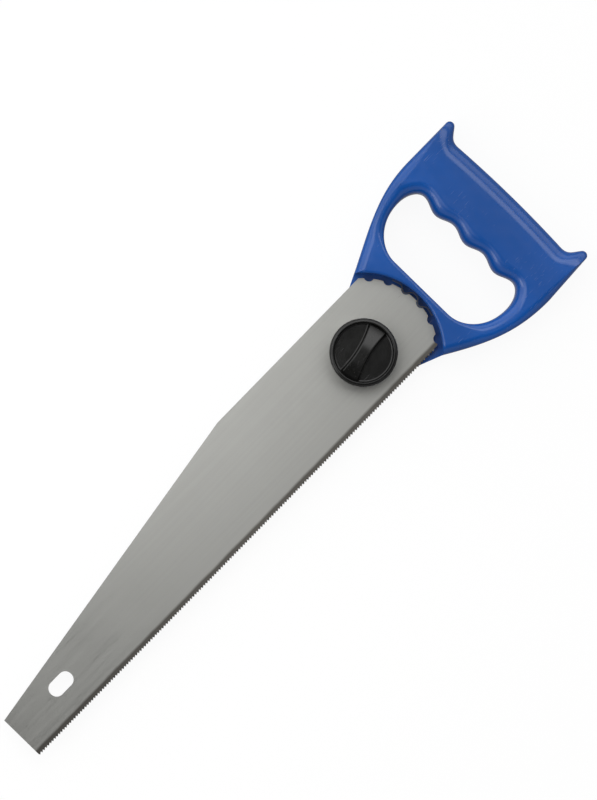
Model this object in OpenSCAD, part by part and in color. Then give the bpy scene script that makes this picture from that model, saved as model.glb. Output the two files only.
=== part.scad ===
// Pipe saw with a re-angling blade: a long tapering blade with a notched round heel,
// clamped by a round knob onto the tang of a hollow two-shell D-handle.
// Millimetres. The saw lies on its back: +X runs to the handle, +Y to the spine, +Z to the knob.
// The origin is on the pivot axis, at the flat back of the handle.

/* [Blade] */
// Distance from the pivot to the square toe
blade_reach = 277.5; // [230:0.5:320]
// Thickness of the blade
blade_t = 0.9; // [0.7:0.05:1.3]
// Height of the straight stretch of the spine above the pivot
spine_y = 30; // [27:0.5:32]
// Distance from the pivot to the bend where the spine starts to fall
spine_bend = 82; // [50:1:130]
// Height of the toe from tooth tips to spine
toe_h = 26.8; // [22:0.1:34]
// Depth of the tooth tips below the pivot
tip_y = 26.7; // [24:0.1:27]
// Distance from tooth to tooth
tooth_pitch = 1.7; // [1.5:0.1:4]
// Height of a tooth
tooth_h = 0.9; // [0.7:0.1:2.2]
// Flat at the bottom of each gullet
gullet = 0.2; // [0.15:0.05:0.6]
// Place of the tooth tip along its base, 0 at the toe end
tooth_lean = 0.28; // [0.15:0.01:0.6]
// Sideways set of each tooth tip, left and right in turn
tooth_set = 0.25; // [0.1:0.05:0.4]
// Radius of the round heel about the pivot
heel_r = 40.3; // [39:0.1:41.2]
// Number of notches in the heel
notch_count = 6; // [4:2:6]
// Angle from notch to notch
notch_step = 15; // [13:0.5:15]
// Angle of the middle of the row of notches
notch_mid = 2.5; // [1:0.5:4]
// Radius of a notch
notch_r = 2.8; // [2.6:0.1:3.4]
// Depth of a notch
notch_depth = 1.7; // [1.5:0.1:2.2]
// Distance from the pivot to the middle of the hanging slot
slot_x = 242; // [200:0.2:250]
// Depth of the middle of the hanging slot below the pivot
slot_y = 8.1; // [5:0.1:10]
// Length of the hanging slot
slot_l = 15.5; // [12:0.5:20]
// Width of the hanging slot
slot_w = 8.8; // [8.6:0.2:12]
// Corner radius of the hanging slot
slot_r = 4.2; // [2:0.1:4.2]

/* [Handle outline] */
// Height of the handle's centreline above the pivot
handle_y = 2; // [0.5:0.25:3]
// Overall height of the handle over its horns
grip_h = 105; // [102:0.2:112]
// Distance from the pivot to the middle of the back edge
back_x = 116; // [114:0.1:119]
// Swell of the back edge between its ends
back_swell = 1.1; // [0.2:0.1:2]
// Distance from the pivot to the horn tips
horn_x = 122.4; // [121:0.1:126]
// Radius of a horn tip
horn_r = 2.6; // [1.5:0.1:3]
// Half-height of the back edge between the flares of the horns
flare_v = 39; // [36:0.5:41]
// Distance from the pivot to where the flanks run level
flank_x = 90; // [84:0.5:96]
// Reach of the flank curve at its tang end
flank_lead = 25; // [20:0.5:28]
// Reach of the flank curve at its level end
flank_ease = 24; // [18:0.5:28]
// Swell of the lower flank beyond the horn's level
low_swell = 1.5; // [0:0.1:2.5]
// Outward turn of the lower flank where it leaves the recess
low_turn = 9.5; // [0:0.5:12]
// Radius of the round tang about the pivot
tang_r = 18.5; // [16:0.25:20]
// Gap between the heel of the blade and the recess wall
recess_gap = 2.5; // [2.3:0.05:2.8]
// Angle of the upper end of the recess
recess_top = 51; // [49:0.5:52]
// Angle of the lower end of the recess
recess_bottom = -47.5; // [-49:0.5:-46]

/* [Finger opening] */
// Distance from the pivot to the front side of the opening
open_x = 46.5; // [46.4:0.1:49]
// Height of the opening
open_h = 82; // [80:0.5:85]
// Distance from the pivot to the ends of the opening at their widest
open_peak_x = 71; // [68:0.5:73]
// Half-height of the straight front side
open_side_v = 20; // [16:0.5:24]
// Distance from the pivot to the mean line of the finger grooves
wave_x = 82; // [81:0.1:83]
// Depth of the finger grooves to either side of that line
wave_a = 1.6; // [0.8:0.05:2.4]
// Distance from groove to groove
wave_step = 22; // [20:0.25:23]

/* [Handle section] */
// Thickness of the rear shell, also the height of the blade's seat
rear_t = 12; // [11:0.25:14]
// Thickness of the front shell
front_t = 12.5; // [11.5:0.25:14]
// Distance from the tooth roots to the raised round seat under the blade
seat_margin = 1.2; // [0.5:0.1:2]
// Drop of the recess floor round the raised seat
floor_drop = 3.4; // [0.8:0.1:6]
// Thickness of the flat faces over the hollow
face_t = 3; // [2.5:0.1:3.5]
// Rounding of the flanks
edge_r = 5; // [3.5:0.1:6]
// Rounding of the flanks where they run out into the horns
horn_edge = 1.2; // [0.8:0.1:3]
// Width of the rounding along the back edge
back_edge_w = 8.5; // [6:0.1:10]
// Height of the rounding along the back edge
back_edge_h = 7.5; // [5:0.1:9]
// Rounding of the opening on the grip
open_edge = 6.5; // [3.5:0.1:7]
// Share of the finger grooves' depth that is left where the grip's rounding meets the face
groove_share = 0.35; // [0:0.05:1]
// Rounding of the opening on the bridge
bridge_edge = 1.6; // [0.8:0.1:1.7]
// Rounding of the recess wall
recess_edge = 1.6; // [0.5:0.1:1.8]
// Rounding of the tang's back
tang_edge = 3; // [1.5:0.1:4]
// Share of a narrow wall that the roundings on its two sides may take up
wall_share = 0.88; // [0.6:0.02:0.9]
// Share of each rounding that the hollow reaches into
hollow_share = 0.35; // [0.2:0.05:0.4]

/* [Shell screws] */
// Distance from the pivot to the pair of screws beside the bridge
screw_front_x = 41; // [40.5:0.25:42]
// Half-spacing of the pair of screws beside the bridge
screw_front_v = 28.5; // [28:0.25:29]
// Distance from the pivot to the screws in the grip
screw_grip_x = 97; // [95:0.25:98]
// Half-spacing of the outer screws in the grip
screw_grip_v = 41; // [39:0.5:42]
// Shank radius of a screw
screw_r = 1.5; // [1.2:0.05:1.7]
// Head radius of a screw
screw_head_r = 3.4; // [3:0.1:3.6]
// Head height of a screw
screw_head_h = 2.4; // [2:0.1:2.8]
// Depth of the screw heads' seats
screw_seat = 5; // [4:0.25:6]
// Length of a screw under its head
screw_l = 14; // [11:0.5:14]
// Wall around the screws in the bosses
boss_wall = 1.6; // [1.2:0.1:2]
// Clearance all round a screw
screw_play = 0.05; // [0.03:0.01:0.1]

/* [Clamp] */
// Radius of the bolt
bolt_r = 4; // [3.5:0.1:4.3]
// Running clearance all round the bolt
bolt_play = 0.05; // [0.02:0.01:0.1]
// Radius of the bolt head
bolt_head_r = 10; // [8.5:0.25:11]
// Height of the bolt head, which lies flush in its pocket
bolt_head_h = 3.4; // [2.6:0.1:4.4]
// Gap all round the bolt head
pocket_gap = 0.6; // [0.4:0.1:1]
// Height of the bolt's square neck
neck_h = 5; // [4:0.25:6]
// Play on each side of the square neck
neck_play = 0.1; // [0.05:0.05:0.2]
// Outside radius of the flat washer
washer_r = 12; // [10:0.25:15]
// Thickness of the flat washer
washer_t = 1.6; // [1.2:0.1:2]
// Outside radius of the spring washer
spring_r = 7.4; // [6.8:0.1:7.8]
// Thickness of the spring washer
spring_t = 2; // [1.6:0.1:2.2]
// Width of the slit in the spring washer
spring_slit = 1; // [0.6:0.1:1.5]

/* [Knob] */
// Radius of the knob
knob_r = 18.4; // [17:0.1:20]
// Height of the knob
knob_h = 16; // [15.5:0.25:20]
// Rise of the middle of the grip bar above the knob's rim
knob_crown = 0.8; // [0.3:0.1:1.5]
// Rounding of the knob's rim
knob_edge = 1.6; // [0.8:0.1:2.2]
// Thickness of the knob's rim
rim_t = 2.2; // [1.6:0.1:3]
// Width of the grip bar at its waist
bar_w = 6.6; // [5:0.1:8]
// Radius of the hollowed sides of the grip bar
bar_side_r = 60; // [40:1:120]
// Radius of the arch along the top of the grip bar
bar_arch = 40; // [32:1:90]
// Angle of the grip bar from the blade's length
bar_angle = 13; // [-45:1:45]
// Depth of the pockets beside the grip bar
grip_d = 5; // [4:0.25:5.5]
// Gap between the knob and the flat washer
knob_gap = 0.3; // [0.3:0.05:0.6]
// Radius of the threaded insert
insert_r = 6; // [5.6:0.1:6.6]
// Length of the threaded insert
insert_l = 7.4; // [6:0.1:7.4]
// Press clearance all round the insert
insert_play = 0.02; // [0.01:0.01:0.05]

/* [Index spring] */
// Thickness of the index spring's strip
strip_t = 0.5; // [0.35:0.05:0.6]
// Height of the index spring's strip
strip_h = 2.4; // [1.8:0.1:3]
// Gap between the strip and the recess wall
strip_gap = 0.35; // [0.3:0.05:0.45]
// Gap between the strip's noses and the bottoms of the notches
nose_gap = 0.35; // [0.3:0.05:0.5]
// Half-angle of a nose at its root
nose_half = 6; // [5:0.25:6.5]
// Angle from the middle of the strip to its ends
strip_half = 19.5; // [18:0.5:21]
// Length of the tabs at the strip's ends
tab_l = 2.2; // [1.6:0.1:2.6]
// Play around the tabs in their slots
tab_play = 0.15; // [0.1:0.05:0.25]

/* [Hidden] */
$fn = 64;
eps = 0.01;
blue = [0.09, 0.25, 0.6];
steel = [0.6, 0.6, 0.57];
zinc = [0.72, 0.73, 0.74];
black = [0.09, 0.09, 0.09];
brass = [0.8, 0.64, 0.3];
recess_r = heel_r + recess_gap;
root_y = tip_y - tooth_h;
top_z = rear_t + front_t;
wave_end = 1.5 * wave_step;
knob_z = rear_t + blade_t + washer_t + knob_gap;
seat_z = rear_t + blade_t + washer_t + spring_t;
// steps along each stretch of the outline and across each rounding
n_flank = 14;
n_level = 3;
n_nose = 5;
n_flare = 6;
n_back = 30;
n_front = 26;
n_round = 5;
n_side = n_flank + n_level + n_nose + n_flare;
// end angles of the opening's end curve that face the bridge, the flank and the horn
turn_bridge = 12;
turn_flank = 125;
turn_level = 150;
// first step of the flank that is hollow
hollow_from = 7;

function lerp(a, b, t) = a + (b - a) * t;
function smooth(t) = let (c = min(1, max(0, t))) c * c * (3 - 2 * c);
function polar(r, a) = [r * cos(a), r * sin(a)];
function unit(v) = v / norm(v);
function bez(a, b, c, d, t) =
    a * pow(1 - t, 3) + 3 * b * t * pow(1 - t, 2) + 3 * c * t * t * (1 - t) + d * pow(t, 3);

// Outer outline. side is 1 for the upper half and -1 for the lower half.
function recess_end(side) = side > 0 ? recess_top : recess_bottom;
function corner(side) = polar(recess_r, recess_end(side));
function tangent_angle(side) =
    let (c = corner(side))
    atan2(c[1], c[0]) + side * acos(tang_r / norm(c));
function tangent_point(side) = polar(tang_r, tangent_angle(side));
function flank_dir(side) =
    let (d = corner(side) - tangent_point(side))
    polar(1, atan2(d[1], d[0]) - (side < 0 ? low_turn : 0));
function level_y(side) = handle_y + side * grip_h / 2;
function flank_y(side) = level_y(side) - (side < 0 ? low_swell : 0);
function flank(side, t) =
    let (a = corner(side), d = [flank_x, flank_y(side)])
    bez(a, a + flank_dir(side) * flank_lead, d - [flank_ease, 0], d, t);
function nose(side, a) = [horn_x - horn_r + horn_r * cos(a), level_y(side) + side * horn_r * (sin(a) - 1)];
function flare(side, t) =
    let (a = nose(side, -50), d = [back_x - back_swell, handle_y + side * flare_v])
    bez(a, a + 5 * [sin(-50), -side * cos(-50)], d + [0, side * 5], d, t);
function back(v) = [back_x - back_swell * pow(v / flare_v, 2), handle_y + v];

// A point of one half of the outline, by its step from the recess to the back edge.
function side_point(side, s) =
    s < n_flank ? flank(side, s / n_flank) :
    s < n_flank + n_level ?
        lerp([flank_x, flank_y(side)], nose(side, 90), (s - n_flank) / n_level) :
    s < n_side - n_flare ?
        nose(side, lerp(90, -50, (s - n_flank - n_level) / n_nose)) :
    flare(side, (s - n_side + n_flare) / n_flare);

// The matching point on the edge of the flat face, where the rounding starts.
function face_inset(side, s, w) =
    let (t = unit(side_point(side, s + 0.05) - side_point(side, max(0, s - 0.05))))
    side_point(side, s) + side * w * [t[1], -t[0]];
function face_level(side) = [horn_x - horn_r - 7.2, level_y(side) - side * horn_edge];
function face_flare(side) = back(side * flare_v) - [back_edge_w, 0];
function face_horn(side, t) =
    let (a = face_level(side), d = face_flare(side), c = [d[0], a[1] - side * (a[0] - d[0])])
    a * pow(1 - t, 2) + 2 * c * t * (1 - t) + d * t * t;
function side_face(side, s, w) =
    s < n_flank ? face_inset(side, s, w) :
    s < n_flank + n_level ?
        lerp([flank_x, flank_y(side) - side * edge_r], face_level(side), (s - n_flank) / n_level) :
    face_horn(side, (s - n_flank - n_level) / (n_nose + n_flare));
function side_drop(s) = lerp(edge_r, back_edge_h, smooth((s - n_flank) / (n_side - n_flank)));

// Finger opening: two end curves, a straight front side and a row of finger grooves.
function open_end(side, a) =
    let (left = a < 90,
         v = left ? open_side_v : wave_end,
         rx = left ? open_peak_x - open_x : wave_x + wave_a - open_peak_x)
    [open_peak_x - rx * cos(a), handle_y + side * (v + (open_h / 2 - v) * sin(a))];
function open_front(v) =
    let (e = max(0, abs(v) - open_side_v) / (open_h / 2 - open_side_v))
    [open_peak_x - (open_peak_x - open_x) * sqrt(1 - e * e), handle_y + v];
function open_grip(v) = [wave_x - wave_a * cos(360 * v / wave_step), handle_y + v];
function side_open(side, s) =
    s < n_flank ? open_end(side, lerp(turn_bridge, turn_flank, s / n_flank)) :
    s < n_flank + n_level ?
        open_end(side, lerp(turn_flank, turn_level, (s - n_flank) / n_level)) :
    open_end(side, lerp(turn_level, 180, (s - n_flank - n_level) / (n_nose + n_flare)));
front_v = open_side_v + (open_h / 2 - open_side_v) * sin(turn_bridge);
opening = concat(
    [for (s = [0 : n_side - 1]) side_open(1, s)],
    [for (k = [0 : n_back - 1]) open_grip(lerp(wave_end, -wave_end, k / n_back))],
    [for (s = [n_side : -1 : 0]) side_open(-1, s)],
    [for (k = [1 : n_front - 1]) open_front(lerp(-front_v, front_v, k / n_front))]);
n_ring = len(opening);
function open_w(p) = lerp(bridge_edge, open_edge, smooth((p[0] - open_x) / 15));
function grip_face(p) =
    let (ridge = 1 + cos(360 * (p[1] - handle_y) / wave_step))
    [wave_x + open_edge + wave_a * (1 - groove_share * ridge), p[1]];
open_face = [for (i = [0 : n_ring - 1])
    let (d = unit(opening[(i + 1) % n_ring] - opening[(i + n_ring - 1) % n_ring]))
    i >= n_side && i <= n_side + n_back ? grip_face(opening[i]) :
    opening[i] + open_w(opening[i]) * [-d[1], d[0]]];

// Front stretch of the front shell: the recess wall about the pivot.
corner_turn = 63 * edge_r / recess_r;
function recess_point(t) = polar(recess_r, lerp(recess_bottom, recess_top, t));
function recess_face(t) =
    polar(recess_r + recess_edge, lerp(recess_bottom + corner_turn, recess_top - corner_turn, t));
function recess_drop(t) = lerp(recess_edge, edge_r, smooth((abs(2 * t - 1) - 0.86) / 0.14));

// Front stretch of the rear shell: the tang, two straight flanks and a round end.
function tang_point(t) =
    t < 0.25 ? lerp(corner(-1), tangent_point(-1), t / 0.25) :
    t > 0.75 ? lerp(tangent_point(1), corner(1), (t - 0.75) / 0.25) :
    polar(tang_r, lerp(tangent_angle(-1) + 360, tangent_angle(1), (t - 0.25) / 0.5));
function tang_face(t) =
    let (d = unit(tang_point(t + 0.005) - tang_point(t - 0.005)))
    tang_point(t) + tang_edge * [d[1], -d[0]];
function rear_edge(s) = lerp(tang_edge, edge_r, min(1, s / 5));

// Each station of a shell: outline point, face point, drop of the rounding, face point at the opening.
// Where the wall is narrow, its two roundings shrink until they fit side by side.
function fit_ring(stations) = [for (i = [0 : n_ring - 1])
    let (o = stations[i][0], f = stations[i][1], p = opening[i], g = open_face[i],
         k = min(1, wall_share * norm(p - o) / (norm(f - o) + norm(g - p))))
    [o, lerp(o, f, k), k * stations[i][2], lerp(p, g, k)]];
back_ring = [for (k = [0 : n_back - 1])
    let (p = back(lerp(flare_v, -flare_v, k / n_back)))
    [p, p - [back_edge_w, 0], back_edge_h]];
front_ring = fit_ring(concat(
    [[corner(1), recess_face(1), edge_r]],
    [for (s = [1 : n_side - 1]) [side_point(1, s), side_face(1, s, edge_r), side_drop(s)]],
    back_ring,
    [for (s = [n_side : -1 : 1]) [side_point(-1, s), side_face(-1, s, edge_r), side_drop(s)]],
    [[corner(-1), recess_face(0), edge_r]],
    [for (k = [1 : n_front - 1])
        let (t = k / n_front)
        [recess_point(t), recess_face(t), recess_drop(t)]]));
rear_ring = fit_ring(concat(
    [for (s = [0 : n_side - 1])
        [side_point(1, s), side_face(1, s, rear_edge(s)), min(side_drop(s), rear_edge(s) + s / 3)]],
    back_ring,
    [for (s = [n_side : -1 : 0])
        [side_point(-1, s), side_face(-1, s, rear_edge(s)), min(side_drop(s), rear_edge(s) + s / 3)]],
    [for (k = [1 : n_front - 1])
        let (t = k / n_front)
        [tang_point(t), tang_face(t), tang_edge]]));

// Section across the ring at one station, from the outline over the face to the opening.
function section(o, f, drop, p, g, z_part, z_face) =
    let (d = sign(z_face - z_part), open_drop = norm(p - g))
    concat(
        [[o[0], o[1], z_part]],
        [for (k = [0 : n_round])
            let (q = lerp(f, o, cos(90 * k / n_round)))
            [q[0], q[1], z_face - d * drop * (1 - sin(90 * k / n_round))]],
        [for (k = [0 : n_round])
            let (q = lerp(g, p, sin(90 * k / n_round)))
            [q[0], q[1], z_face - d * open_drop * (1 - cos(90 * k / n_round))]],
        [[p[0], p[1], z_part]]);

// The skin of a shell: the sections joined all round the opening.
module skin(stations, z_part, z_face) {
    n = n_ring;
    m = 2 * n_round + 4;
    points = [for (i = [0 : n - 1])
        each section(stations[i][0], stations[i][1], stations[i][2], opening[i], stations[i][3],
                     z_part, z_face)];
    function at(i, j) = (i % n) * m + j % m;
    function quad(a, b, c, d) =
        z_face > z_part ? [[c, b, a], [d, c, a]] : [[a, b, c], [a, c, d]];
    polyhedron(points,
               [for (i = [0 : n - 1], j = [0 : m - 1])
                   each quad(at(i, j), at(i, j + 1), at(i + 1, j + 1), at(i + 1, j))],
               convexity = 8);
}

// Outline of the hollow inside a shell: round the grip from flank to flank, square under the horns.
function hollow_corner(side) =
    [lerp(face_flare(side)[0], back(flare_v)[0], hollow_share),
     level_y(side) - side * (1 - hollow_share) * edge_r];
function hollow_outline(stations) =
    let (low = n_side + n_back, last = n_ring - n_front - hollow_from)
    concat(
        [for (i = [hollow_from : n_flank]) lerp(stations[i][1], stations[i][0], hollow_share)],
        [hollow_corner(1)],
        [for (i = [n_side : low]) lerp(stations[i][1], stations[i][0], hollow_share)],
        [hollow_corner(-1)],
        [for (i = [low + n_side - n_flank : last]) lerp(stations[i][1], stations[i][0], hollow_share)],
        [for (i = [last : -1 : hollow_from]) lerp(stations[i][3], opening[i], hollow_share)]);

screws_grip = [for (v = [-screw_grip_v, 0, screw_grip_v]) [screw_grip_x, handle_y + v]];
screws_front = [for (v = [-screw_front_v, screw_front_v]) [screw_front_x, handle_y + v]];

module at_screws(places) {
    for (p = places)
        translate([p[0], p[1], 0])
            children();
}

module cylinder_between(r, z0, z1) {
    translate([0, 0, z0])
        cylinder(r = r, h = z1 - z0);
}

module handle_rear_shell() {
    seat_r = screw_head_r + 0.4;
    color(blue)
        difference() {
            skin(rear_ring, rear_t, 0);
            difference() {
                translate([0, 0, face_t])
                    linear_extrude(rear_t)
                        polygon(hollow_outline(rear_ring));
                at_screws(screws_grip)
                    cylinder(r = seat_r + boss_wall, h = 2 * rear_t);
            }
            at_screws(concat(screws_front, screws_grip)) {
                cylinder_between(seat_r, -1, screw_seat);
                cylinder_between(screw_r + 0.4, 0, rear_t + 1);
            }
            difference() {
                cylinder_between(recess_r + 0.3, rear_t - floor_drop, rear_t + 1);
                cylinder_between(root_y - seat_margin, 0, rear_t + 2);
            }
            cylinder_between(bolt_head_r + pocket_gap, -1, bolt_head_h);
            translate([-bolt_r - neck_play, -bolt_r - neck_play, 0])
                cube([2 * (bolt_r + neck_play), 2 * (bolt_r + neck_play), bolt_head_h + neck_h + 0.2]);
            cylinder_between(bolt_r + bolt_play, 0, rear_t + 1);
        }
}

module handle_front_shell() {
    hole_top = screw_seat + screw_l + 0.4;
    color(blue)
        difference() {
            skin(front_ring, rear_t, top_z);
            difference() {
                translate([0, 0, rear_t - 1])
                    linear_extrude(front_t - face_t + 1)
                        polygon(hollow_outline(front_ring));
                at_screws(screws_grip)
                    cylinder(r = screw_r + 2 * boss_wall, h = 2 * top_z);
            }
            at_screws(concat(screws_front, screws_grip))
                cylinder_between(screw_r + screw_play, rear_t - 1, hole_top);
            for (s = [-1, 1])
                rotate(notch_mid + s * strip_half)
                    translate([recess_r - 1, -strip_t / 2 - tab_play, rear_t - 1])
                        cube([tab_l - strip_gap + 1.3, strip_t + 2 * tab_play, strip_h + 1.4]);
        }
}

module shell_screws() {
    color(zinc)
        at_screws(concat(screws_front, screws_grip))
            rotate_extrude()
                polygon([[0, screw_seat - screw_head_h],
                         [screw_head_r * 0.7, screw_seat - screw_head_h],
                         [screw_head_r, screw_seat - screw_head_h * 0.55],
                         [screw_head_r, screw_seat],
                         [screw_r, screw_seat],
                         [screw_r, screw_seat + screw_l - 2],
                         [screw_r * 0.3, screw_seat + screw_l],
                         [0, screw_seat + screw_l]]);
}

// Strip on edge in the recess gap: two rounded noses in the middle notches, a tab at each end.
module index_spring() {
    mean_r = recess_r - strip_gap - strip_t / 2;
    rise = mean_r - (heel_r - notch_depth + nose_gap + strip_t / 2);
    function off(a) = min(abs(a - notch_step / 2), abs(a + notch_step / 2));
    function mid(a) = mean_r - (off(a) < nose_half ? rise * pow(cos(90 * off(a) / nose_half), 2) : 0);
    function line(a) = polar(mid(a), a);
    function side(a, s) =
        let (d = unit(line(a + 0.05) - line(a - 0.05)))
        line(a) + s * strip_t / 2 * [d[1], -d[0]];
    count = 78;
    angles = [for (k = [0 : count]) lerp(-strip_half, strip_half, k / count)];
    color(zinc)
        translate([0, 0, rear_t + tab_play])
            rotate(notch_mid) {
                linear_extrude(strip_h)
                    polygon(concat([for (a = angles) side(a, 1)],
                                   [for (k = [count : -1 : 0]) side(angles[k], -1)]));
                for (s = [-1, 1])
                    rotate(s * strip_half)
                        translate([mean_r - strip_t / 2, -strip_t / 2, 0])
                            cube([tab_l + strip_t / 2, strip_t, strip_h]);
            }
}

module clamp_bolt() {
    tip = seat_z + insert_l - 0.4;
    color(zinc)
        union() {
            rotate_extrude()
                polygon([[0, 0], [bolt_head_r - 0.5, 0], [bolt_head_r, 0.5], [bolt_head_r, bolt_head_h],
                         [bolt_r, bolt_head_h], [bolt_r, tip - 0.8], [bolt_r - 0.8, tip], [0, tip]]);
            translate([-bolt_r, -bolt_r, bolt_head_h - eps])
                cube([2 * bolt_r, 2 * bolt_r, neck_h]);
        }
}

// Every second tooth, all bent to one side about the line of their roots.
module tooth_row(first, count, bend) {
    w = tooth_pitch - gullet;
    t = 0.94 * blade_t;
    translate([-blade_reach, -root_y, rear_t + blade_t / 2])
        rotate([bend, 0, 0])
            translate([0, 0, -t / 2])
                linear_extrude(t)
                    for (k = [first : 2 : count - 1])
                        translate([k * tooth_pitch, 0])
                            polygon([[0, 0.15], [0, 0], [w * tooth_lean, -tooth_h], [w, 0], [w, 0.15]]);
}

module blade() {
    heel_x = sqrt(heel_r * heel_r - root_y * root_y);
    teeth = floor((blade_reach + heel_x - 1) / tooth_pitch);
    bend = atan(tooth_set / tooth_h);
    color(steel)
        difference() {
            union() {
                translate([0, 0, rear_t])
                    linear_extrude(blade_t)
                        polygon([[-blade_reach, -root_y], [heel_x * 0.6, -root_y],
                                 [heel_x * 0.6, spine_y], [-spine_bend, spine_y],
                                 [-blade_reach, toe_h - tip_y]]);
                intersection() {
                    translate([0, 0, rear_t])
                        cylinder(r = heel_r, h = blade_t, $fn = 180);
                    translate([0, -root_y, rear_t - 1])
                        cube([heel_r + 1, root_y + spine_y, blade_t + 2]);
                }
                tooth_row(0, teeth, bend);
                tooth_row(1, teeth, -bend);
            }
            cylinder_between(bolt_r + bolt_play, rear_t - 1, rear_t + blade_t + 1);
            for (k = [0 : notch_count - 1])
                rotate(notch_mid + (k - (notch_count - 1) / 2) * notch_step)
                    translate([heel_r - notch_depth + notch_r, 0, 0])
                        cylinder_between(notch_r, rear_t - 1, rear_t + blade_t + 1);
            translate([-slot_x, -slot_y, rear_t - 1])
                slot_cut(blade_t + 2);
        }
}

module slot_cut(h) {
    for (sx = [-1, 1], sy = [-1, 1])
        translate([sx * (slot_l / 2 - slot_r), sy * (slot_w / 2 - slot_r), 0])
            cylinder(r = slot_r, h = h);
    translate([-slot_l / 2 + slot_r, -slot_w / 2, 0])
        cube([slot_l - 2 * slot_r, slot_w, h]);
    translate([-slot_l / 2, -slot_w / 2 + slot_r, 0])
        cube([slot_l, slot_w - 2 * slot_r, h]);
}

module flat_washer() {
    color(zinc)
        difference() {
            cylinder_between(washer_r, rear_t + blade_t, rear_t + blade_t + washer_t);
            cylinder_between(bolt_r + bolt_play, rear_t, seat_z);
        }
}

module spring_washer() {
    color(steel)
        difference() {
            cylinder_between(spring_r, seat_z - spring_t, seat_z);
            cylinder_between(bolt_r + bolt_play, rear_t, seat_z + 1);
            translate([0, -spring_slit / 2, seat_z - spring_t - 1])
                cube([spring_r + 1, spring_slit, spring_t + 2]);
        }
}

module knob_insert() {
    color(brass)
        difference() {
            cylinder_between(insert_r, seat_z, seat_z + insert_l);
            cylinder_between(bolt_r + bolt_play, seat_z - 1, seat_z + insert_l + 1);
        }
}

// The grip bar along X: arched along its top, hollowed on both sides.
module grip_bar(top) {
    difference() {
        translate([0, 1.5 * knob_r, top - bar_arch])
            rotate([90, 0, 0])
                cylinder(r = bar_arch, h = 3 * knob_r);
        for (s = [-1, 1])
            translate([0, s * (bar_w / 2 + bar_side_r), 0])
                cylinder_between(bar_side_r, -bar_arch, 2 * top);
    }
}

module knob() {
    top = knob_z + knob_h;
    rim = top - knob_crown;
    color(black)
        difference() {
            rotate_extrude()
                polygon(concat(
                    [[0, knob_z], [knob_r - 1, knob_z], [knob_r, knob_z + 1]],
                    [for (k = [0 : 4])
                        [knob_r - knob_edge * (1 - cos(22.5 * k)),
                         rim - knob_edge * (1 - sin(22.5 * k))]],
                    [[knob_r - rim_t - 0.3, rim], [knob_r - rim_t - 0.3, top + 0.5], [0, top + 0.5]]));
            cylinder_between(spring_r + 0.4, knob_z - 1, seat_z);
            cylinder_between(insert_r + insert_play, seat_z - 1, seat_z + insert_l);
            difference() {
                cylinder_between(knob_r - rim_t, top - grip_d, top + 1);
                rotate(bar_angle)
                    grip_bar(top);
            }
        }
}

handle_rear_shell();
handle_front_shell();
shell_screws();
index_spring();
clamp_bolt();
blade();
flat_washer();
spring_washer();
knob_insert();
knob();
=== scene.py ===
"""Pipe saw with a re-angling blade: moulded shells, ground blade, plated clamp parts and a studio table."""

import cmath
import math

import bmesh
import bpy
from bpy.props import FloatProperty, FloatVectorProperty, PointerProperty
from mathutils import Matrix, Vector


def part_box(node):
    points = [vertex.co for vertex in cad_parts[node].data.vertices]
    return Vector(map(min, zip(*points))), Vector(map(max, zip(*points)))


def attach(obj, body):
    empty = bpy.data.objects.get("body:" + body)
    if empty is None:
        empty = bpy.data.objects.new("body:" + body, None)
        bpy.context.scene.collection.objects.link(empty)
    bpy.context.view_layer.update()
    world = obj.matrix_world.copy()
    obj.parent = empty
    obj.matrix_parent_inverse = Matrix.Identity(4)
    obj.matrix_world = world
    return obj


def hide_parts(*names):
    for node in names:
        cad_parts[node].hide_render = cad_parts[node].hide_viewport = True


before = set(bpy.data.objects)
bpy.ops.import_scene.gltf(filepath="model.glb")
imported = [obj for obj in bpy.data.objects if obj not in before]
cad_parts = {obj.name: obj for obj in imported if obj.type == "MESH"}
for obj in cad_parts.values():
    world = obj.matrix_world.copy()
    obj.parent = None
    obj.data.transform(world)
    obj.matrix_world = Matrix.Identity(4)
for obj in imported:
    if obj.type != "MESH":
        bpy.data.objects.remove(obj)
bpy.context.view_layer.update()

bl_info = {
    "name": "Pipe Saw",
    "version": (1, 0, 0),
    "blender": (4, 5, 0),
    "location": "View3D > Sidebar > Pipe Saw",
    "description": "Builds the dressed pipe saw around its solid frame",
    "category": "Object",
}

MM = 0.001
PARTING_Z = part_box("handle_rear_shell")[1].z
FACE_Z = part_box("handle_front_shell")[1].z
KNOB_LOW, KNOB_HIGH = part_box("knob")
INSERT_LOW, INSERT_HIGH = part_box("knob_insert")
BOLT_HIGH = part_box("clamp_bolt")[1]
BLADE_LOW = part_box("blade")[0]
SQUARE = ((-1, -1), (1, -1), (1, 1), (-1, 1))
WHITE = (1.0, 1.0, 1.0, 1.0)


# ---- sizes and colours ----

def length(name, description, default):
    """A size in metres"""
    return FloatProperty(name=name, description=description, default=default, min=0.0, precision=5,
                         unit="LENGTH")


def angle(name, description, degrees):
    """An angle, given in degrees and kept in radians"""
    return FloatProperty(name=name, description=description, default=math.radians(degrees), subtype="ANGLE")


def share(name, description, default):
    """A share from none to all"""
    return FloatProperty(name=name, description=description, default=default, min=0.0, max=1.0,
                         subtype="FACTOR")


def colour(name, description, rgb):
    """A linear colour"""
    return FloatVectorProperty(name=name, description=description, default=rgb, size=3, min=0.0, max=1.0,
                               subtype="COLOR")


def brightness(name, description, default):
    """A strength of light"""
    return FloatProperty(name=name, description=description, default=default, min=0.0)


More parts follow.
